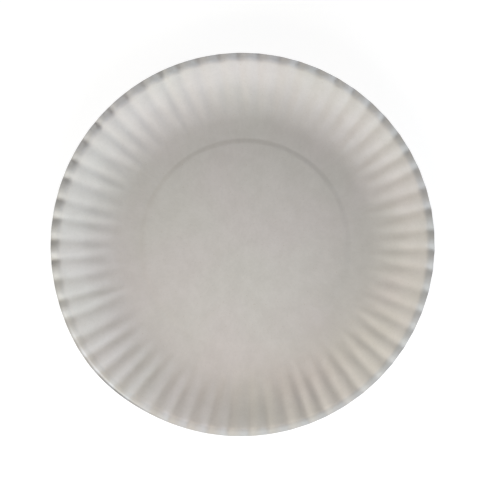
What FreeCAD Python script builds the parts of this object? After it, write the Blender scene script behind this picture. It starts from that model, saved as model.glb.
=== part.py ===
import FreeCAD, Part
import math
import os
import Sketcher

# A round paper plate, pressed from one disc of board. It lies well side up on the plane z = 0,
# with its centre on the Z axis. All sizes are in millimetres and degrees.

doc = FreeCAD.newDocument("paper_plate")

# The driving sizes
SIZES = (
    ("outer_diameter", "178", "across the outer edge of the rim"),
    ("rim_height", "15.5", "table to the top of the rim, along the mean line of the flutes"),
    ("board_thickness", "0.45", "thickness of the pressed paper board"),
    ("floor_diameter", "116", "flat floor, up to where the side starts to bend up"),
    ("wall_run", "6.5", "straight part of the side, measured along the radius"),
    ("lip_radius", "4", "rounding from the side over to the lip"),
    ("lip_run", "1.2", "straight part of the lip, measured along the radius"),
    ("lip_droop", "1", "angle below level of the straight part of the lip"),
    ("panel_margin", "7.5", "from the raised middle panel to the edge of the floor"),
    ("panel_step_run", "2.6", "width of the soft step round the middle panel"),
    ("panel_lift", "0.18", "height of the middle panel above the rest of the floor"),
    ("flute_count", "58", "flutes round the rim"),
    ("wall_flute_depth", "0.95", "height from trough to ridge on the side"),
    ("lip_flute_depth", "1.4", "height from trough to ridge at the outer edge"),
    ("flute_turn", "1.5517", "angle from the X axis to the middle of the first ridge"),
)

sheet = doc.addObject("Spreadsheet::Sheet", "Sizes")
for row, (alias, value, note) in enumerate(SIZES, start=1):
    sheet.set("A%d" % row, alias)
    sheet.set("B%d" % row, value)
    sheet.set("C%d" % row, note)
    sheet.setAlias("B%d" % row, alias)
doc.recompute()


def size(alias):
    return float(sheet.get(alias))


board = size("board_thickness")
floor_radius = size("floor_diameter") / 2
lip_radius = size("lip_radius")
droop = math.radians(size("lip_droop"))
wall_run = size("wall_run")
lip_run = size("lip_run")

# The middle line of the board, drawn in the XZ plane
# It is the floor, the bend, the straight side, the rounding and the lip, each tangent to the next.
edge_reach = size("outer_diameter") / 2 - board / 2 * math.sin(droop)
lip_centre_x = edge_reach - lip_run - lip_radius * math.sin(droop)
lip_centre_z = size("rim_height") - board / 2 - lip_radius


def bend_for(slope):
    """Return the bend radius and the height that a side of this slope gives."""
    side_run = lip_centre_x - lip_radius * math.sin(slope) - floor_radius - wall_run
    radius = side_run / math.sin(slope)
    rise = radius * (1 - math.cos(slope)) + wall_run * math.tan(slope)
    return radius, board / 2 + rise - lip_radius * math.cos(slope)


low, high = math.radians(2), math.radians(80)
for step in range(60):
    middle = (low + high) / 2
    if bend_for(middle)[1] < lip_centre_z:
        low = middle
    else:
        high = middle
side_slope = (low + high) / 2
bend_radius = bend_for(side_slope)[0]
if bend_radius <= 0 or side_slope > math.radians(79):
    raise ValueError("the side does not fit between the floor and the lip")

section = doc.addObject("Sketcher::SketchObject", "board_section")
section.Placement = FreeCAD.Placement(FreeCAD.Vector(0, 0, 0), FreeCAD.Rotation(FreeCAD.Vector(1, 0, 0), 90))
axis = FreeCAD.Vector(0, 0, 1)
half = board / 2
quarter_turn = math.pi / 2
bend_centre = FreeCAD.Vector(floor_radius, half + bend_radius, 0)
lip_centre = FreeCAD.Vector(lip_centre_x, lip_centre_z, 0)
wall_start = bend_centre + FreeCAD.Vector(math.sin(side_slope), -math.cos(side_slope), 0) * bend_radius
wall_end = lip_centre + FreeCAD.Vector(-math.sin(side_slope), math.cos(side_slope), 0) * lip_radius
lip_start = lip_centre + FreeCAD.Vector(math.sin(droop), math.cos(droop), 0) * lip_radius
lip_end = lip_start + FreeCAD.Vector(lip_run, -lip_run * math.tan(droop), 0)
floor_line = section.addGeometry(
    Part.LineSegment(FreeCAD.Vector(0, half, 0), FreeCAD.Vector(floor_radius, half, 0)))
bend_arc = section.addGeometry(
    Part.ArcOfCircle(Part.Circle(bend_centre, axis, bend_radius), -quarter_turn, side_slope - quarter_turn))
wall_line = section.addGeometry(Part.LineSegment(wall_start, wall_end))
lip_arc = section.addGeometry(
    Part.ArcOfCircle(Part.Circle(lip_centre, axis, lip_radius), quarter_turn - droop, quarter_turn + side_slope))
lip_line = section.addGeometry(Part.LineSegment(lip_start, lip_end))


def hold(kind, *parts):
    return section.addConstraint(Sketcher.Constraint(kind, *parts))


def drive(kind, parts, value, formula):
    number = hold(kind, *parts, value)
    section.setExpression("Constraints[%d]" % number, formula)


hold("PointOnObject", floor_line, 1, -2)
hold("Horizontal", floor_line)
hold("Tangent", floor_line, 2, bend_arc, 1)
hold("Tangent", bend_arc, 2, wall_line, 1)
hold("Tangent", wall_line, 2, lip_arc, 2)
hold("Tangent", lip_arc, 1, lip_line, 1)
drive("DistanceY", (-1, 1, floor_line, 1), half, "Sizes.board_thickness / 2")
drive("DistanceX", (-1, 1, floor_line, 2), floor_radius, "Sizes.floor_diameter / 2")
drive("DistanceX", (wall_line, 1, wall_line, 2), wall_run, "Sizes.wall_run")
drive("Radius", (lip_arc,), lip_radius, "Sizes.lip_radius")
drive("DistanceX", (lip_arc, 3, lip_arc, 1), lip_radius * math.sin(droop),
      "Sizes.lip_radius * sin(Sizes.lip_droop * 1 deg)")
drive("DistanceX", (lip_line, 1, lip_line, 2), lip_run, "Sizes.lip_run")
drive("DistanceX", (-1, 1, lip_line, 2), edge_reach,
      "Sizes.outer_diameter / 2 - Sizes.board_thickness / 2 * sin(Sizes.lip_droop * 1 deg)")
drive("DistanceY", (-1, 1, lip_arc, 3), lip_centre_z,
      "Sizes.rim_height - Sizes.board_thickness / 2 - Sizes.lip_radius")
doc.recompute()
print("side slope", round(math.degrees(side_slope), 2), "bend radius", round(bend_radius, 2))

# The middle line from the floor outwards: the bend, the straight side, the rounding and the lip
# The arc of the rounding is drawn from its outer end, so it is travelled backwards.
CHAIN = ((bend_arc, False), (wall_line, False), (lip_arc, True), (lip_line, False))
NUDGE_SHARE = 0.001


def middle_line(line, travel_back, share):
    """Return the radius, the height and the normal at a share of one drawn line."""
    curve = section.Geometry[line]
    first, last = curve.FirstParameter, curve.LastParameter
    if travel_back:
        first, last = last, first
    at = first + (last - first) * share
    point = curve.value(at)
    along = curve.tangent(at)[0]
    if travel_back:
        along = along * -1
    return point.x, point.y, -along.y, along.x


def flute_height(line, share):
    """Return half the depth of the flutes, which grow along the bend and again out to the edge."""
    wall_depth, lip_depth = size("wall_flute_depth") / 2, size("lip_flute_depth") / 2
    if line == bend_arc:
        return wall_depth * share * share * (3 - 2 * share)
    if line == wall_line:
        return wall_depth
    rounding, straight = section.Geometry[lip_arc].length(), section.Geometry[lip_line].length()
    done = share * rounding if line == lip_arc else rounding + share * straight
    return wall_depth + (lip_depth - wall_depth) * (done / (rounding + straight)) ** 1.5


def surface_point(line, travel_back, share, side, wave):
    """Return a point of the upper or lower face of the board, on a ridge or a trough.

    The flutes rise and fall along Z, so the rim stays round when it is seen from above.
    """
    radius, height, normal_r, normal_z = middle_line(line, travel_back, share)
    half_board = side * board / 2
    rise = wave * flute_height(line, share)
    return FreeCAD.Vector(radius + half_board * normal_r, 0, height + half_board * normal_z + rise)


def section_poles(side, wave):
    """Return the poles of a smooth cubic through the stations, with its knots at their lengths."""
    poles, knots = [], [0.0]
    reach = 1 / (3 * NUDGE_SHARE)
    for line, travel_back in CHAIN:
        first = surface_point(line, travel_back, 0, side, wave)
        after = surface_point(line, travel_back, NUDGE_SHARE, side, wave)
        before = surface_point(line, travel_back, 1 - NUDGE_SHARE, side, wave)
        last = surface_point(line, travel_back, 1, side, wave)
        if not poles:
            poles.append(first)
        poles.append(first + (after - first) * reach)
        poles.append(last - (last - before) * reach)
        knots.append(knots[-1] + section.Geometry[line].length())
    poles.append(last)
    return poles, knots


# A cubic with double knots inside is smooth in direction at each station
section_curves = {}
for side in (1, -1):
    for wave in (1.0, -1.0):
        section_curves[side, wave] = section_poles(side, wave)


def radial_line(side, wave, angle):
    """Make the curve of one face of the board, at one angle round the plate."""
    poles, knots = section_curves[side, wave]
    turned = [FreeCAD.Vector(p.x * math.cos(angle), p.x * math.sin(angle), p.z) for p in poles]
    mults = [4] + [2] * (len(knots) - 2) + [4]
    curve = Part.BSplineCurve()
    curve.buildFromPolesMultsKnots(turned, mults, knots, False, 3)
    return curve


# Each flute has one ridge and one trough, half a pitch apart, with a flank on either side
flute_count = max(3, int(round(size("flute_count"))))
half_pitch = math.pi / flute_count
lines_round = []
for number in range(2 * flute_count):
    angle = math.radians(size("flute_turn")) + number * half_pitch
    wave = 1.0 if number % 2 == 0 else -1.0
    lines_round.append((angle, wave))
upper = [radial_line(1, wave, angle) for angle, wave in lines_round]
lower = [radial_line(-1, wave, angle) for angle, wave in lines_round]

# The fluted side and lip: an upper face, a lower face and a cut edge for each flank
faces = []
for number in range(len(lines_round)):
    following = (number + 1) % len(lines_round)
    for lines in (upper, lower):
        faces.append(Part.makeRuledSurface(lines[number].toShape(), lines[following].toShape()))
    upper_rim = Part.makeLine(upper[number].EndPoint, upper[following].EndPoint)
    lower_rim = Part.makeLine(lower[number].EndPoint, lower[following].EndPoint)
    faces.append(Part.makeRuledSurface(upper_rim, lower_rim))

# The floor inside the bend, on both faces of the board
# Its middle is pressed up by a little, with a soft conical step all round.
panel_radius = floor_radius - size("panel_margin")
panel_flat_radius = panel_radius - size("panel_step_run")
lift = size("panel_lift")
for lines in (upper, lower):
    level = lines[0].StartPoint.z
    corners = [line.StartPoint for line in lines]
    floor_face = Part.Face(Part.makePolygon(corners + corners[:1]))
    step_foot = Part.Wire(Part.makeCircle(panel_radius, FreeCAD.Vector(0, 0, level)))
    step_top = Part.Wire(Part.makeCircle(panel_flat_radius, FreeCAD.Vector(0, 0, level + lift)))
    step = Part.makeCone(panel_radius, panel_flat_radius, lift, FreeCAD.Vector(0, 0, level))
    faces.append(floor_face.cut(Part.Face(step_foot)).Faces[0])
    faces.append(step.Faces[0])
    faces.append(Part.Face(step_top))

sewn = Part.makeShell(faces)
sewn.sewShape()
solid = Part.Solid(Part.Shell(sewn.Faces))
if solid.Volume < 0:
    solid.reverse()
plate = doc.addObject("Part::Feature", "plate_sheet")
plate.Shape = solid
plate.Label = "plate"
plate.Placement = FreeCAD.Placement()
doc.recompute()

# Check everything before the part is written
for item in doc.Objects:
    if "Invalid" in item.State or "Error" in item.State:
        raise RuntimeError("%s did not compute" % item.Name)
if plate.Shape.isNull() or not plate.Shape.isValid() or len(plate.Shape.Solids) != 1:
    raise RuntimeError("the plate is not one valid solid")

box = plate.Shape.BoundBox
print("plate", round(box.XLength, 2), round(box.YLength, 2), round(box.ZLength, 2),
      "volume", round(plate.Shape.Volume, 1), "faces", len(plate.Shape.Faces))
os.makedirs("parts", exist_ok=True)
plate.Shape.exportStep("parts/plate.step")
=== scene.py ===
# %% [markdown]
# # A pressed paper plate
# The object is one disc of white board, pressed hot between two shaped plates. The press
# gives it a flat floor, a side that curves up, and a rounded lip. A flat disc has too much
# board at its edge for the smaller circle that it is drawn into, so the press gathers the
# spare board into small even flutes all round.
#
# The notebook loads the measured model first. That model is the frame: everything made here
# keeps its size and place.

# %% Load the measured model
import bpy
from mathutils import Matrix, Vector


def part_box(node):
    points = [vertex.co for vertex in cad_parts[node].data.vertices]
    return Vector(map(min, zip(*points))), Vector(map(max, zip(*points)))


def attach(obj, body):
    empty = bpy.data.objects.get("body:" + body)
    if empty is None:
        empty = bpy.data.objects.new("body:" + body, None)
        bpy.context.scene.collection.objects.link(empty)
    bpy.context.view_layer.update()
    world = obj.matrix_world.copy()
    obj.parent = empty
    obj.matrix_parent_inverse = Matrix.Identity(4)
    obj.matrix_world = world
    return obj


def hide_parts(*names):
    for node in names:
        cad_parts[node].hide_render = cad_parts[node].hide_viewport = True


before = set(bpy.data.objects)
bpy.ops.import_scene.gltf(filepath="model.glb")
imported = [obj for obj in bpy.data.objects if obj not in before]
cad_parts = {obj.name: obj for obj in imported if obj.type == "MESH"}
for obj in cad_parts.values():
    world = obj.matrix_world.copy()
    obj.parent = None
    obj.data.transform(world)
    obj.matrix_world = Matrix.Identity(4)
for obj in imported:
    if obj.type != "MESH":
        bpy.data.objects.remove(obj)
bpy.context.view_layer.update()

# %% [markdown]
# ## The modules
# Blender's own module makes meshes, materials and lamps. The others give the sines of the
# flutes, a random that repeats itself, and vectors to place the lamps and the camera with.

# %% Modules for numbers, chance and Blender
import math
import random
import bpy
from mathutils import Vector
print("Blender", bpy.app.version_string)

# %% [markdown]
# ## The sizes of the plate
# All lengths are in metres. The names are the ones a plate maker would use: the floor is the
# flat middle, the side bends up from it, and the lip is the rounding at the outer edge.
# The overall size is read from the measured model, so that the two can't drift apart.

# %% Sizes
low_corner, high_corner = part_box("plate")
OUTER_RADIUS = (high_corner[0] - low_corner[0]) / 2
FLUTES = 58
FIRST_RIDGE = math.radians(1.5517)
BOARD = 0.00045
FLOOR_RADIUS = 0.058
RIM_HEIGHT = 0.0155
SIDE_RUN = 0.0065
LIP_RADIUS = 0.004
LIP_RUN = 0.0012
LIP_DROOP = math.radians(1)
print("outer radius", round(OUTER_RADIUS, 5), "for", FLUTES, "flutes")

# %% [markdown]
# ## The section of the board
# If the plate is cut through its centre, the board's middle line is a chain of a straight
# floor, an arc, a short straight side, a tighter arc over the crest and a narrow straight lip.
# It could be drawn as a curve and spun, but the board's two faces need its direction at each
# place too. So the section is a small function: it takes a place on the chain and gives radius,
# height and slope.
# The slope of the side isn't a size of its own. It follows from the height, and is found
# by halving an interval until the lip sits at the right level.

# %% Find the slope of the side
HALVINGS = 60
edge_reach = OUTER_RADIUS - BOARD / 2 * math.sin(LIP_DROOP)
lip_centre_r = edge_reach - LIP_RUN - LIP_RADIUS * math.sin(LIP_DROOP)
lip_centre_z = RIM_HEIGHT - BOARD / 2 - LIP_RADIUS


def bend_for(slope):
    """Give the radius of the bend for a slope of the side, and where the lip's centre lands."""
    run = lip_centre_r - LIP_RADIUS * math.sin(slope) - FLOOR_RADIUS - SIDE_RUN
    radius = run / math.sin(slope)
    rise = radius * (1 - math.cos(slope)) + SIDE_RUN * math.tan(slope)
    return radius, BOARD / 2 + rise - LIP_RADIUS * math.cos(slope)


gentle, steep = math.radians(2), math.radians(80)
for halving in range(HALVINGS):
    middle = (gentle + steep) / 2
    if bend_for(middle)[1] < lip_centre_z:
        gentle = middle
    else:
        steep = middle
SIDE_SLOPE = (gentle + steep) / 2
BEND_RADIUS = bend_for(SIDE_SLOPE)[0]
print("side slope", round(math.degrees(SIDE_SLOPE), 2), "bend radius", round(BEND_RADIUS, 5))

# %% [markdown]
# With the slope known, each part of the chain is one line of school geometry. A place is named
# by its part and by its share of that part: 0 where the part starts and 1 where it ends.

# %% The section as a function
side_start = (FLOOR_RADIUS + BEND_RADIUS * math.sin(SIDE_SLOPE),
              BOARD / 2 + BEND_RADIUS * (1 - math.cos(SIDE_SLOPE)))


def section(part, share):
    """Give the radius, height and slope of the board's middle line at a share of one part."""
    if part == "floor":
        return FLOOR_RADIUS * share, BOARD / 2, 0.0
    if part == "bend":
        slope = SIDE_SLOPE * share
        return (FLOOR_RADIUS + BEND_RADIUS * math.sin(slope),
                BOARD / 2 + BEND_RADIUS * (1 - math.cos(slope)), slope)
    if part == "side":
        run = SIDE_RUN * share
        return side_start[0] + run, side_start[1] + run * math.tan(SIDE_SLOPE), SIDE_SLOPE
    slope = SIDE_SLOPE - (SIDE_SLOPE + LIP_DROOP) * share if part == "crest" else -LIP_DROOP
    run = LIP_RUN * share if part == "lip" else 0.0
    radius = lip_centre_r - LIP_RADIUS * math.sin(slope) + run
    height = lip_centre_z + LIP_RADIUS * math.cos(slope) - run * math.tan(LIP_DROOP)
    return radius, height, slope


print("lip ends at radius", round(section("lip", 1)[0], 5))

# %% [markdown]
# ## The panel pressed in the floor
# The middle of the floor stands a hair higher than the ring round it, which keeps the plate
# from rocking. It is about half the thickness of the board, so it only shows as a soft line
# where its edge turns away from the light. On this plate the edge is crisp towards +Y and
# almost fades out towards -Y. A displacement in the material could make it, but real height in
# the mesh catches light from every side, and is kept in an export.

# %% The height of the panel
PANEL_RADIUS = 0.0506
PANEL_LIFT = 0.00026
CRISP_STEP = 0.0029
FADED_STEP = 0.0046


def soft_step(share):
    """Ease from 0 to 1 while the share goes from 0 to 1, and stay level outside that."""
    share = min(1.0, max(0.0, share))
    return share * share * (3 - 2 * share)


def panel_lift(radius, angle):
    """Give how far the floor is lifted at a place. The angle runs from +X towards +Y."""
    crisp = 0.5 + 0.5 * math.sin(angle)
    step = FADED_STEP + (CRISP_STEP - FADED_STEP) * crisp
    return PANEL_LIFT * soft_step((PANEL_RADIUS - radius) / step)


print("panel lift at the middle", round(panel_lift(0, 0), 5))

# %% [markdown]
# ## The flutes, and how uneven they are
# A ridge and a trough make one flute. On a real plate no two are quite alike: the board gives
# way a little sooner here and a little later there. A smooth random wave round the plate does
# this well, because it joins up with itself after one turn. It is a sum of sines with whole
# numbers of waves, with seeded phases, so each run gives the same plate.

# %% A smooth random wave round the plate
SEED = 58
draws = random.Random(SEED)


def round_wave(lowest, highest, count):
    """Make a wave, about 1 high on average, from sines with lowest to highest waves a turn."""
    parts = []
    for number in range(count):
        waves = draws.randint(lowest, highest)
        parts.append((waves, draws.uniform(0, 2 * math.pi), draws.uniform(0.5, 1)))
    total = math.sqrt(sum(weight ** 2 for waves, phase, weight in parts) / 2)

    def value(angle):
        return sum(weight * math.sin(waves * angle + phase) for waves, phase, weight in parts) / total

    return value


shift_wave = round_wave(lowest=5, highest=27, count=12)
depth_wave = round_wave(lowest=6, highest=40, count=12)
start_wave = round_wave(lowest=8, highest=40, count=12)
lip_wave = round_wave(lowest=9, highest=50, count=12)
print("shift at the first ridge", round(shift_wave(FIRST_RIDGE), 3))

# %% [markdown]
# Other changes are slow, and belong to one side of the plate. The flutes are a little deeper
# towards -Y, their ridges creep up to an eighth of a flute out of step, and the lip is fluted
# most towards +Y and least where it has opened out. A cosine or a soft hump, which is 1 at one
# place of the rim and fades to both sides, carries each of them.

# %% How the flutes stray
STRAY = 0.18
CREEP_MIDDLE = 0.14
CREEP = 0.7
DEPTH_STRAY = 0.12
DEEP_SIDE = 0.13
DEEP_SIDE_AT = math.radians(-100)
LATEST_START = 0.01
START_STRAY = 0.07
LIP_STRAY = 0.08
LIP_FULLNESS = 1.08
FULL_LIP = 0.3
FULL_LIP_AT = math.radians(118.65)
LOW_LIP = 0.25
LOW_LIP_AT = math.radians(-125)
LOW_LIP_WIDTH = math.radians(40)


def hump(angle, centre, width):
    """Give 1 at the centre and nearly 0 past two widths, for an angle round the plate."""
    away = (angle - centre + math.pi) % (2 * math.pi) - math.pi
    return math.exp(-(away / width) ** 2)


def fluting_turn(angle):
    """Give how far the flutes have turned, with one full turn for each flute."""
    creep = CREEP_MIDDLE + CREEP * math.sin(angle)
    return FLUTES * (angle - FIRST_RIDGE) + STRAY * shift_wave(angle) + creep


def lip_fullness(angle):
    """Give the depth of the flutes at the edge of the lip, as a share of their usual depth."""
    full = FULL_LIP * math.cos(angle - FULL_LIP_AT)
    return LIP_FULLNESS + full - LOW_LIP * hump(angle, LOW_LIP_AT, LOW_LIP_WIDTH)


print("lip fullness at +Y", round(lip_fullness(math.pi / 2), 2))

# %% [markdown]
# The flutes rise out of the floor along the bend, keep one depth on the side, and grow towards
# the edge of the lip, where there is the most board to take up. A plain cosine would make
# ridges and troughs alike. The press makes the ridges broader than the troughs, and a little
# of a second cosine, called the pinch here, gives that. Where the flutes begin it is the other
# way round: a ridge starts narrow between two broad hollows.

# %% The height of the flutes
SIDE_FLUTE = 0.00095
LIP_FLUTE = 0.0014
SIDE_PINCH = 0.12
LIP_PINCH = 0.14
LIP_GROWTH = 1.5
crest_length = LIP_RADIUS * (SIDE_SLOPE + LIP_DROOP)
lip_length = LIP_RUN / math.cos(LIP_DROOP)


def flute(part, share, angle):
    """Give how far the flutes lift the board (or lower it, below 0) at a place on the side."""
    if part == "floor":
        return 0.0
    depth = SIDE_FLUTE / 2
    pinch = SIDE_PINCH
    uneven = DEPTH_STRAY * depth_wave(angle) + DEEP_SIDE * math.cos(angle - DEEP_SIDE_AT)
    if part == "bend":
        late = LATEST_START + START_STRAY * start_wave(angle)
        depth *= soft_step((share - late) / (1 - late))
        pinch = SIDE_PINCH * (2 * share - 1)
    if part in ("crest", "lip"):
        done = share * crest_length if part == "crest" else crest_length + share * lip_length
        outward = done / (crest_length + lip_length)
        depth += (LIP_FLUTE * lip_fullness(angle) - SIDE_FLUTE) / 2 * outward ** LIP_GROWTH
        pinch += (LIP_PINCH - SIDE_PINCH) * outward
        uneven += outward * LIP_STRAY * lip_wave(angle)
    turn = fluting_turn(angle)
    return depth * (1 + uneven) * (math.cos(turn) - pinch * math.cos(2 * turn))


print("flute at the lip", round(flute("lip", 1, FIRST_RIDGE), 6))

# %% [markdown]
# ## The rim is not a perfect circle
# Thin board springs after pressing. On this plate the rim is a little wider towards -X and -Y,
# where the lip has opened out into a bulge. Its disc also lay a trace off the middle of the
# press, so that the lip is broader on the -X side: there the crest lies further in and the
# edge further out. Two slow waves and a few soft humps carry this. One wave makes the rim a
# little oval, and the other gives it three faint sides.

# %% The sizes of the spring
BULGE_AT = math.radians(-141)
BULGE_WIDTH = math.radians(17)
BULGE = 0.0010
BULGE_RISE = 0.3
BROAD_LIP_AT = math.radians(155)
BROAD_LIP_WIDTH = math.radians(60)
BROAD_OUT = 0.00035
BROAD_IN = 0.0007
CREST_IN = 0.0003
TRUE_CREST = 0.8
TRUE_CREST_AT = math.radians(90)
TRUE_CREST_WIDTH = math.radians(50)
OVAL = 0.00025
OVAL_PHASE = 0.6
THREE_SIDED = 0.00015
THREE_SIDED_PHASE = 2.0
SHRINK = 0.00015
SHRINK_RIGHT = 0.0001
WARP = 0.0002
WARP_PHASE = 0.9
print("the rim bulges by", BULGE, "at", round(math.degrees(BULGE_AT)), "degrees")

# %% How far the rim has sprung
STARTS = {"floor": 0.0, "bend": 0.0, "side": 0.35, "crest": 0.6, "lip": 0.8}
GROWS = {"floor": 0.0, "bend": 0.35, "side": 0.25, "crest": 0.2, "lip": 0.2}


def way_out(part, share):
    """Give how far out a place is, from 0 on the floor to 1 at the edge of the lip."""
    eased = share * share if part == "bend" else share
    return STARTS[part] + GROWS[part] * eased


def spring(part, share, angle):
    """Give the outward and upward shift of the board at a place on the rim."""
    along = way_out(part, share)
    bulge = BULGE * hump(angle, BULGE_AT, BULGE_WIDTH) * along ** 3
    broad = hump(angle, BROAD_LIP_AT, BROAD_LIP_WIDTH)
    true = TRUE_CREST * hump(angle, TRUE_CREST_AT, TRUE_CREST_WIDTH)
    inward = BROAD_IN * broad + CREST_IN * (1 - true)
    crest = -inward * soft_step(along / STARTS["crest"])
    edge = (BROAD_OUT * broad + inward) * max(0.0, (along - STARTS["lip"]) / GROWS["lip"])
    slow = OVAL * math.sin(2 * angle + OVAL_PHASE)
    slow += THREE_SIDED * math.sin(3 * angle + THREE_SIDED_PHASE)
    slow -= SHRINK + SHRINK_RIGHT * math.cos(angle / 2) ** 4
    up = WARP * math.sin(2 * angle - WARP_PHASE) * along + BULGE_RISE * bulge
    return slow * along + bulge + crest + edge, up


print("spring at the bulge", [round(v, 5) for v in spring("lip", 1, BULGE_AT)])

# %% [markdown]
# ## The mesh of the board
# The board is built ring by ring: rings of points on the upper face from the centre out to the
# lip, a few small rings round the cut edge, and the same rings back along the underside. Rings
# lie close together where the shape turns quickly, at the panel's edge and over the crest, and
# far apart on the flat floor.

# %% Rings of the section
POINTS_ON_FLUTE = 12
STEPS_ROUND = FLUTES * POINTS_ON_FLUTE
FLOOR_SHARES = (0.15, 0.35, 0.55, 0.7)
PANEL_RINGS = 10
PANEL_MARGIN = 0.0002
PANEL_EASE = 1.6
LAST_ON_FLOOR = 0.94


def rings_of(part, steps, first=1):
    """Give the rings of one part, evenly spaced, from the numbered step to its end."""
    return [(part, number / steps) for number in range(first, steps + 1)]


RINGS = [("floor", share) for share in FLOOR_SHARES]
for number in range(PANEL_RINGS, -1, -1):
    inside = (FADED_STEP + PANEL_MARGIN) * (number / PANEL_RINGS) ** PANEL_EASE
    RINGS.append(("floor", (PANEL_RADIUS - inside) / FLOOR_RADIUS))
RINGS.append(("floor", LAST_ON_FLOOR))
RINGS += rings_of("bend", 12, first=0)
RINGS += rings_of("side", 3) + rings_of("crest", 10) + rings_of("lip", 5)
print("rings on each face", len(RINGS), "points round", STEPS_ROUND)

# %% [markdown]
# Each point of a face stands half a board off the middle line, square to it, so that the board
# has the same thickness everywhere. A Solidify modifier could give the thickness too, but here
# the cut edge gets a shape of its own.
# The side of this plate leans half a millimetre towards -X. And a ridge takes up more board
# than a trough does, so the press draws the lip in a little at each ridge: each point of the
# lip moves inwards by a small part of its rise.

# %% A point on one face of the board
LEAN = 0.0005
DRAWN_IN = 0.14


def leaning(part, share):
    """Give how far a place has moved towards -X."""
    if part == "floor":
        return 0.0
    return LEAN * soft_step(share) if part == "bend" else LEAN


def board_point(part, share, angle, side):
    """Place a point of the upper face (side 1) or the underside (side -1)."""
    radius, height, slope = section(part, share)
    out, up = spring(part, share, angle)
    lift = flute(part, share, angle)
    if part == "floor":
        height += panel_lift(radius, angle)
    if part in ("crest", "lip"):
        radius -= DRAWN_IN * lift * (share if part == "crest" else 1.0)
    radius += out - side * BOARD / 2 * math.sin(slope)
    height += up + lift + side * BOARD / 2 * math.cos(slope)
    return radius * math.cos(angle) - leaning(part, share), radius * math.sin(angle), height


print("rim point", [round(v, 5) for v in board_point("lip", 1, FIRST_RIDGE, 1)])

# %% [markdown]
# The edge was cut by a die, which leaves its corners a little soft. Three rings between the
# two faces make it, and the middle one stands out by a twentieth of a millimetre.

# %% Build the points
EDGE_ROUNDS = (0.8, 0.0, -0.8)
EDGE_SWELL = 0.00005
around = [2 * math.pi * step / STEPS_ROUND for step in range(STEPS_ROUND)]
points = [(0, 0, BOARD + PANEL_LIFT)]
for part, share in RINGS:
    points.extend(board_point(part, share, angle, 1) for angle in around)
for side in EDGE_ROUNDS:
    swell = 1 + EDGE_SWELL * math.sqrt(1 - side * side) / OUTER_RADIUS
    for angle in around:
        x, y, z = board_point("lip", 1, angle, side)
        points.append((x * swell, y * swell, z))
for part, share in reversed(RINGS):
    points.extend(board_point(part, share, angle, -1) for angle in around)
points.append((0, 0, PANEL_LIFT))
print("points", len(points))

# %% [markdown]
# The faces join each ring to the next with squares, and a fan of triangles closes the middle
# of each face of the board. All of them list their corners in the same turning direction, so
# that every face looks outwards and the sheet is closed.

# %% Build the faces
ring_total = 2 * len(RINGS) + len(EDGE_ROUNDS)
last_ring = 1 + (ring_total - 1) * STEPS_ROUND
last_point = len(points) - 1
faces = []
for step in range(STEPS_ROUND):
    after = (step + 1) % STEPS_ROUND
    faces.append((0, 1 + step, 1 + after))
    for ring in range(ring_total - 1):
        near, far = 1 + ring * STEPS_ROUND, 1 + (ring + 1) * STEPS_ROUND
        faces.append((near + step, far + step, far + after, near + after))
    faces.append((last_ring + step, last_point, last_ring + after))
print("faces", len(faces))

# %% [markdown]
# The mesh becomes an object that stands for the plate of the measured model. It is shaded
# smooth, and only the corners of the cut edge stay sharp.

# %% Make the plate from them
SHARP_FROM = math.radians(40)
plate_mesh = bpy.data.meshes.new("pressed_plate")
plate_mesh.from_pydata(points, [], faces)
plate_mesh.validate()
plate_mesh.shade_smooth()
plate_mesh.set_sharp_from_angle(angle=SHARP_FROM)
plate = bpy.data.objects.new("pressed_plate", plate_mesh)
bpy.context.scene.collection.objects.link(plate)
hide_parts("plate")
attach(plate, "root")
print("triangles", sum(len(face.vertices) - 2 for face in plate_mesh.polygons))

# %% [markdown]
# ## Marks on the rim
# The rim doesn't have quite the tone of the rest. The lip carries painted shade, most of all
# on the -Y side, which makes it a trace darker, and the cut edge is a little darker all round,
# partly dust and partly painted shade. Where the lip has opened out, a painted shadow runs as a
# thin dark line along the cut edge, with a painted highlight as a paler strip beside it.
# A texture could paint these, but the rim isn't a true circle. So each point of the mesh stores
# how much of each mark it has, and the material reads the values back by name.

# %% Where the marks are
# A painted shadow: a thin dark line along the cut edge where the lip has opened out.
LINE_AT = math.radians(-130)
LINE_WIDTH = math.radians(10)
# A painted highlight: a pale strip beside the dark line on the opened lip.
STRIP_AT = math.radians(-138)
STRIP_WIDTH = math.radians(15)
# The cut edge is darkened a little all round, partly dust and partly painted shade.
EDGE_DUST_AND_SHADE = 0.15
LIP_TONE_ON_CREST = (0.25, 0.75)
LINE_ON_LIP = (0.55, 0.8)
STRIP_STARTS = (0.15, 0.35)
STRIP_ENDS = (0.6, 0.8)


def soft_between(share, span):
    """Give 0 before the span and 1 after it, with a soft change along it."""
    return soft_step((share - span[0]) / (span[1] - span[0]))


def rim_marks(part, share, angle):
    """Give the shares of lip, painted shade on the lip, dark edge line and painted highlight strip at
    a place.
    """
    if part in ("floor", "bend", "side"):
        return 0.0, 0.0, 0.0, 0.0
    # Painted shade on the lip, strongest on the -Y side and none on the +Y side.
    lip_shade_share = 0.5 - 0.5 * math.sin(angle)
    # Dark line along the cut edge: faint dust and painted shade all round, and a painted shadow where
    # the lip has opened out.
    line = EDGE_DUST_AND_SHADE + (1 - EDGE_DUST_AND_SHADE) * hump(angle, LINE_AT, LINE_WIDTH)
    if part == "crest":
        on_lip = soft_between(share, LIP_TONE_ON_CREST)
        return on_lip, lip_shade_share * on_lip, 0.0, 0.0
    if part == "lip":
        # Painted highlight: a pale strip partway across the opened lip.
        middle = soft_between(share, STRIP_STARTS) * (1 - soft_between(share, STRIP_ENDS))
        strip = middle * hump(angle, STRIP_AT, STRIP_WIDTH)
        return 1.0, lip_shade_share, line * soft_between(share, LINE_ON_LIP), strip
    return 1.0, lip_shade_share, line, 0.0


print("marks on the open lip", [round(v, 2) for v in rim_marks("lip", 0.5, LINE_AT)])

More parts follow.
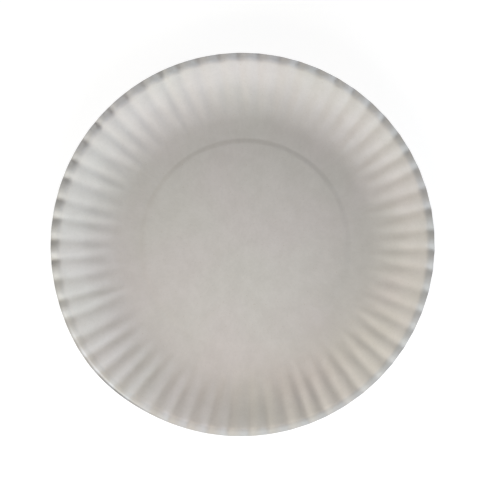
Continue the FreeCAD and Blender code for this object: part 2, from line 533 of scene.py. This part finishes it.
# %% Store the marks on the points
MARK_NAMES = ("lip", "painted_shade_lip", "edge_dust_and_painted_shadow", "painted_highlight_strip")
ring_places = RINGS + [("edge", 1.0)] * len(EDGE_ROUNDS) + RINGS[::-1]
marks = [rim_marks(part, share, angle) for part, share in ring_places for angle in around]
middle_marks = [rim_marks("floor", 0.0, 0.0)]
marks = middle_marks + marks + middle_marks
for number, name in enumerate(MARK_NAMES):
    layer = plate_mesh.attributes.new(name, "FLOAT", "POINT")
    layer.data.foreach_set("value", [mark[number] for mark in marks])
    print(name, "on", sum(1 for mark in marks if mark[number] > 0.01), "of", len(marks), "points")

# %% [markdown]
# ## White uncoated board
# Up close the board is a felt of short fibres, so it is matt, a little cloudy, and never quite
# one tone. Layers of noise carry this: broad faint patches a little rosy or green, clouds from
# the paper machine, a finer mottle, a few specks of bark left in the pulp, and a fibre grain
# that makes the bump. The coordinates come from the object, so the grain stays on the plate
# when it is moved.
# A material is a tree of nodes. Each helper below adds one node and joins it up, so that the
# material itself reads as a short list.

# %% Small helpers for node trees
def new_material(name):
    """Make a material, and give it and its empty node tree."""
    material = bpy.data.materials.new(name)
    material.use_nodes = True
    tree = material.node_tree
    tree.nodes.clear()
    return material, tree


def add(tree, kind, **settings):
    """Add a node to a tree, with its settings."""
    made = tree.nodes.new(kind)
    for name, value in settings.items():
        setattr(made, name, value)
    return made


def noise(tree, place, scale, detail, rough=0.5):
    """Give a noise from 0 to 1. A scale of 100 makes spots of about a centimetre."""
    made = add(tree, "ShaderNodeTexNoise")
    made.inputs["Scale"].default_value = scale
    made.inputs["Detail"].default_value = detail
    made.inputs["Roughness"].default_value = rough
    tree.links.new(place, made.inputs["Vector"])
    return made.outputs["Fac"]


def soft_change(tree, value, low, high, lowest=0.0, highest=1.0):
    """Turn a value into lowest below low and highest above high, with a soft change between."""
    made = add(tree, "ShaderNodeMapRange", interpolation_type="SMOOTHSTEP")
    made.inputs["From Min"].default_value = low
    made.inputs["From Max"].default_value = high
    made.inputs["To Min"].default_value = lowest
    made.inputs["To Max"].default_value = highest
    tree.links.new(value, made.inputs["Value"])
    return made.outputs["Result"]


print("helpers", [helper.__name__ for helper in (new_material, add, noise, soft_change)])


# %% Helpers that mix colours
def two_tones(tree, share, first, second):
    """Give the first colour where the share is 0 and the second where it is 1."""
    made = add(tree, "ShaderNodeMix", data_type="RGBA")
    made.inputs["A"].default_value = (*first, 1)
    made.inputs["B"].default_value = (*second, 1)
    tree.links.new(share, made.inputs["Factor"])
    return made.outputs["Result"]


def multiply(tree, first, second):
    """Darken or tint one colour by another."""
    made = add(tree, "ShaderNodeMix", data_type="RGBA", blend_type="MULTIPLY")
    made.inputs["Factor"].default_value = 1.0
    tree.links.new(first, made.inputs["A"])
    tree.links.new(second, made.inputs["B"])
    return made.outputs["Result"]


def mark(tree, name):
    """Read a value that was stored on the points of the mesh."""
    return add(tree, "ShaderNodeAttribute", attribute_name=name).outputs["Fac"]


print("colour helpers", [helper.__name__ for helper in (two_tones, multiply, mark)])

# %% [markdown]
# The clouds give the board its two main tones. All else only multiplies them by a colour near
# white, so each layer can be made fainter or stronger without a change to the others.

# %% The board's colour
PLAIN = (1.0, 1.0, 1.0)
THICK_CLOUD = (0.640, 0.614, 0.583)
THIN_CLOUD = (0.672, 0.646, 0.617)
ROSY = (1.008, 0.996, 1.006)
GREENISH = (0.990, 1.004, 0.992)
MOTTLE = (0.965, 0.965, 0.965)
BARK = (0.84, 0.80, 0.74)
paper, tree = new_material("white_board")
place = add(tree, "ShaderNodeTexCoord").outputs["Object"]
patches = soft_change(tree, noise(tree, place, scale=26, detail=1), low=0.3, high=0.7)
clouds = soft_change(tree, noise(tree, place, scale=110, detail=3, rough=0.6), low=0.3, high=0.7)
mottle = soft_change(tree, noise(tree, place, scale=900, detail=2, rough=0.6), low=0.25, high=0.75)
specks = soft_change(tree, noise(tree, place, scale=2300, detail=1, rough=0.4), low=0.72, high=0.78)
colour = two_tones(tree, clouds, THICK_CLOUD, THIN_CLOUD)
colour = multiply(tree, colour, two_tones(tree, patches, ROSY, GREENISH))
colour = multiply(tree, colour, two_tones(tree, mottle, MOTTLE, PLAIN))
colour = multiply(tree, colour, two_tones(tree, specks, PLAIN, BARK))
print("board colour from", len(tree.nodes), "nodes")

# %% [markdown]
# The marks that were stored on the rim tint the board in the same way. The lip is a trace
# cooler than the side, its painted shade darkens it on the -Y side, the painted shadow line on
# the opened lip is much darker, and the painted highlight strip beside it is paler.

# %% The tones of the marks
MARK_TONES = {
    "lip": (0.975, 1.0, 1.035),
    # Painted shade: the lip is darkened, most on its -Y side.
    "painted_shade_lip": (0.865, 0.862, 0.84),
    # Dust and painted shadow: the dark line along the cut edge.
    "edge_dust_and_painted_shadow": (0.49, 0.505, 0.54),
    # Painted highlight: the pale strip on the opened lip.
    "painted_highlight_strip": (1.30, 1.32, 1.37),
}
for name in MARK_NAMES:
    colour = multiply(tree, colour, two_tones(tree, mark(tree, name), PLAIN, MARK_TONES[name]))
print("with the marks", len(tree.nodes), "nodes")

# %% [markdown]
# The fibres lie mostly one way, as the wire of the paper machine laid them. So their noise is
# squeezed along Y, which draws its spots out along X. A bump is enough for them, since they
# stand only hundredths of a millimetre high.

# %% The board's grain and shader
FIBRE_STRETCH = (1.0, 3.5, 1.0)
GRAIN_STRENGTH = 0.25
GRAIN_HEIGHT = 0.00006
DULLNESS = 0.92
SHEEN = 0.25
stretch = add(tree, "ShaderNodeMapping")
stretch.inputs["Scale"].default_value = FIBRE_STRETCH
tree.links.new(place, stretch.inputs["Vector"])
fibres = noise(tree, stretch.outputs["Vector"], scale=1600, detail=4, rough=0.7)
grain = add(tree, "ShaderNodeBump")
grain.inputs["Strength"].default_value = GRAIN_STRENGTH
grain.inputs["Distance"].default_value = GRAIN_HEIGHT
tree.links.new(fibres, grain.inputs["Height"])
surface = add(tree, "ShaderNodeBsdfPrincipled")
surface.inputs["Roughness"].default_value = DULLNESS
surface.inputs["Specular IOR Level"].default_value = SHEEN
tree.links.new(colour, surface.inputs["Base Color"])
tree.links.new(grain.outputs["Normal"], surface.inputs["Normal"])
end = add(tree, "ShaderNodeOutputMaterial")
tree.links.new(surface.outputs["BSDF"], end.inputs["Surface"])
plate_mesh.materials.append(paper)
print("material", paper.name, "with", len(tree.nodes), "nodes")

# %% [markdown]
# ## The table
# The plate lies on a plain white table. The camera sees most of the table's white as a glow of
# its own, and the rest as matt paint, so the shadow of the plate still darkens it a little.
# Away from the plate the share of glow grows to the whole, so that the table has no horizon.
# More light on a grey table would make it white too, but it would also bleach the plate.
# The table lies a tenth of a millimetre low, so that its face and the plate's underside are
# never drawn on the same plane.

# %% The table top
REACH = 3.0
TABLE_LEVEL = -0.0001
corners = [(x * REACH, y * REACH, TABLE_LEVEL) for x, y in ((-1, -1), (1, -1), (1, 1), (-1, 1))]
floor_mesh = bpy.data.meshes.new("table_top")
floor_mesh.from_pydata(corners, [], [(0, 1, 2, 3)])
table_top = bpy.data.objects.new("table_top", floor_mesh)
bpy.context.scene.collection.objects.link(table_top)
print("table", 2 * REACH, "metres wide at height", TABLE_LEVEL)


# %% Which rays see the plain white
def either(tree, first, second):
    """Give the larger of two values."""
    made = add(tree, "ShaderNodeMath", operation="MAXIMUM")
    tree.links.new(first, made.inputs[0])
    tree.links.new(second, made.inputs[1])
    return made.outputs["Value"]


def sees_background(tree):
    """Give 1 to rays from the camera, from gloss and through glass, and 0 to all others."""
    path = add(tree, "ShaderNodeLightPath")
    mirrored = either(tree, path.outputs["Is Glossy Ray"], path.outputs["Is Transmission Ray"])
    return either(tree, path.outputs["Is Camera Ray"], mirrored)


def blend(tree, share, first, second):
    """Give the first shader where the share is 0 and the second where it is 1."""
    made = add(tree, "ShaderNodeMixShader")
    tree.links.new(share, made.inputs["Fac"])
    tree.links.new(first, made.inputs[1])
    tree.links.new(second, made.inputs[2])
    return made.outputs["Shader"]


print("background helpers", [helper.__name__ for helper in (either, sees_background, blend)])

# %% The table's paint and glow
PAINT = (0.8, 0.8, 0.8)
GLOW = 1.26
GLOW_STARTS = 0.12
GLOW_FULL = 0.40
GLOW_UNDER_PLATE = 0.70
white, tree = new_material("white_table")
matt = add(tree, "ShaderNodeBsdfDiffuse")
matt.inputs["Color"].default_value = (*PAINT, 1)
glow = add(tree, "ShaderNodeEmission")
glow.inputs["Strength"].default_value = GLOW
spot = add(tree, "ShaderNodeTexCoord").outputs["Object"]
away = add(tree, "ShaderNodeVectorMath", operation="LENGTH")
tree.links.new(spot, away.inputs["Vector"])
glow_share = soft_change(tree, away.outputs["Value"], GLOW_STARTS, GLOW_FULL, GLOW_UNDER_PLATE, 1.0)
faded = add(tree, "ShaderNodeMath", operation="MULTIPLY")
tree.links.new(sees_background(tree), faded.inputs[0])
tree.links.new(glow_share, faded.inputs[1])
end = add(tree, "ShaderNodeOutputMaterial")
mixed = blend(tree, faded.outputs["Value"], matt.outputs["BSDF"], glow.outputs["Emission"])
tree.links.new(mixed, end.inputs["Surface"])
floor_mesh.materials.append(white)
print("material", white.name, "with", len(tree.nodes), "nodes")

# %% [markdown]
# ## The surroundings
# The world is white to the camera and lights the plate only softly. It fills the shadows from
# every side, as the walls of a bright room do. One strength for both would either leave the
# background grey or wash out the flutes.

# %% The white surroundings
ROOM_LIGHT = 0.195
FULL_WHITE = 1.0
world = bpy.data.worlds.new("surroundings")
bpy.context.scene.world = world
world.use_nodes = True
tree = world.node_tree
tree.nodes.clear()
soft = add(tree, "ShaderNodeBackground")
soft.inputs["Color"].default_value = (*PLAIN, 1)
soft.inputs["Strength"].default_value = ROOM_LIGHT
bright = add(tree, "ShaderNodeBackground")
bright.inputs["Color"].default_value = (*PLAIN, 1)
bright.inputs["Strength"].default_value = FULL_WHITE
end = add(tree, "ShaderNodeOutputWorld")
mixed = blend(tree, sees_background(tree), soft.outputs["Background"], bright.outputs["Background"])
tree.links.new(mixed, end.inputs["Surface"])
print("world", world.name, "with", len(tree.nodes), "nodes")

# %% [markdown]
# ## The lamps
# Light on a white sheet has to come from low down: straight from above, a ridge and a trough
# would look the same. Four soft lamps stand low round the plate, where windows and white walls
# would be, and leave the floor a little darker than the side. Two smaller ones nearer by and a
# warm key lamp above the -Y side draw the flutes. To find their strengths, the plate was
# rendered with one lamp at a time, and the sum of those pictures was brought close to the
# shading in the photograph. The lamps towards +X are cool, and the others warm or nearly white.

# %% Place a lamp
def lamp(name, azimuth, elevation, distance, width, power, tint):
    """Place a square lamp round the plate, facing its centre. Azimuth 0 is towards +X."""
    light = bpy.data.lights.new(name, "AREA")
    light.shape = "SQUARE"
    light.size = width
    light.energy = power
    light.color = tint
    holder = bpy.data.objects.new(name, light)
    holder.visible_camera = False
    bpy.context.scene.collection.objects.link(holder)
    a, e = math.radians(azimuth), math.radians(elevation)
    at = Vector((math.cos(a) * math.cos(e), math.sin(a) * math.cos(e), math.sin(e))) * distance
    holder.location = at
    holder.rotation_mode = "QUATERNION"
    holder.rotation_quaternion = (-at).to_track_quat("-Z", "Y")


# %% The lamps
# Name, azimuth and elevation in degrees, distance and width in metres, power in watts, tint.
LAMPS = (
    ("low_right", 0, 10, 0.7, 0.2, 1.655, (0.88, 0.94, 1.00)),
    ("low_back", 90, 10, 0.7, 0.2, 1.796, (1.00, 0.98, 0.94)),
    ("low_front_left", 210, 10, 0.7, 0.2, 1.093, (0.98, 1.00, 0.96)),
    ("low_front_right", 300, 10, 0.7, 0.2, 1.502, (0.91, 0.98, 1.00)),
    ("near_left", 210, 20, 0.3, 0.12, 0.330, (1.00, 0.96, 0.87)),
    ("near_right", 300, 20, 0.3, 0.12, 0.250, (0.55, 0.74, 1.00)),
    ("key", 270, 45, 0.3, 0.12, 0.345, (1.00, 0.91, 0.83)),
)
for row in LAMPS:
    lamp(*row)
print("lamps", len(LAMPS), "with", round(sum(row[5] for row in LAMPS), 2), "watts")

# %% [markdown]
# ## The camera
# The photograph looks almost straight down. The rim stands a little to the left of the ring
# pressed in the floor, so the camera is a few degrees off the vertical, towards +X. It stands
# well off with a long lens, which keeps the shape of the rim true.
# The plate isn't quite in the middle of the picture, so the camera looks at a point a little
# beside it, at about the level of the rim. The lens follows from the distance and from the
# length that one pixel covers.

# %% The camera
PICTURE = 500
PLATE_IN_PICTURE = 384.0
PLATE_WIDTH = 0.178
PIXEL = PLATE_WIDTH / PLATE_IN_PICTURE
OFF_MIDDLE = (7.4, -5.2)
AIM_HEIGHT = 0.014
SENSOR = 36.0
CAMERA_TILT = math.radians(3.6)
CAMERA_DISTANCE = 0.8
aim = Vector((OFF_MIDDLE[0] * PIXEL, OFF_MIDDLE[1] * PIXEL, AIM_HEIGHT))
camera_data = bpy.data.cameras.new("camera")
camera_data.sensor_width = SENSOR
camera_data.lens = SENSOR * CAMERA_DISTANCE / (PICTURE * PIXEL)
camera = bpy.data.objects.new("camera", camera_data)
bpy.context.scene.collection.objects.link(camera)
back = Vector((math.sin(CAMERA_TILT), 0, math.cos(CAMERA_TILT)))
camera.location = aim + back * CAMERA_DISTANCE
camera.rotation_euler = (0, CAMERA_TILT, 0)
bpy.context.scene.camera = camera
bpy.context.scene.view_settings.view_transform = "Standard"
print("lens", round(camera_data.lens, 1))
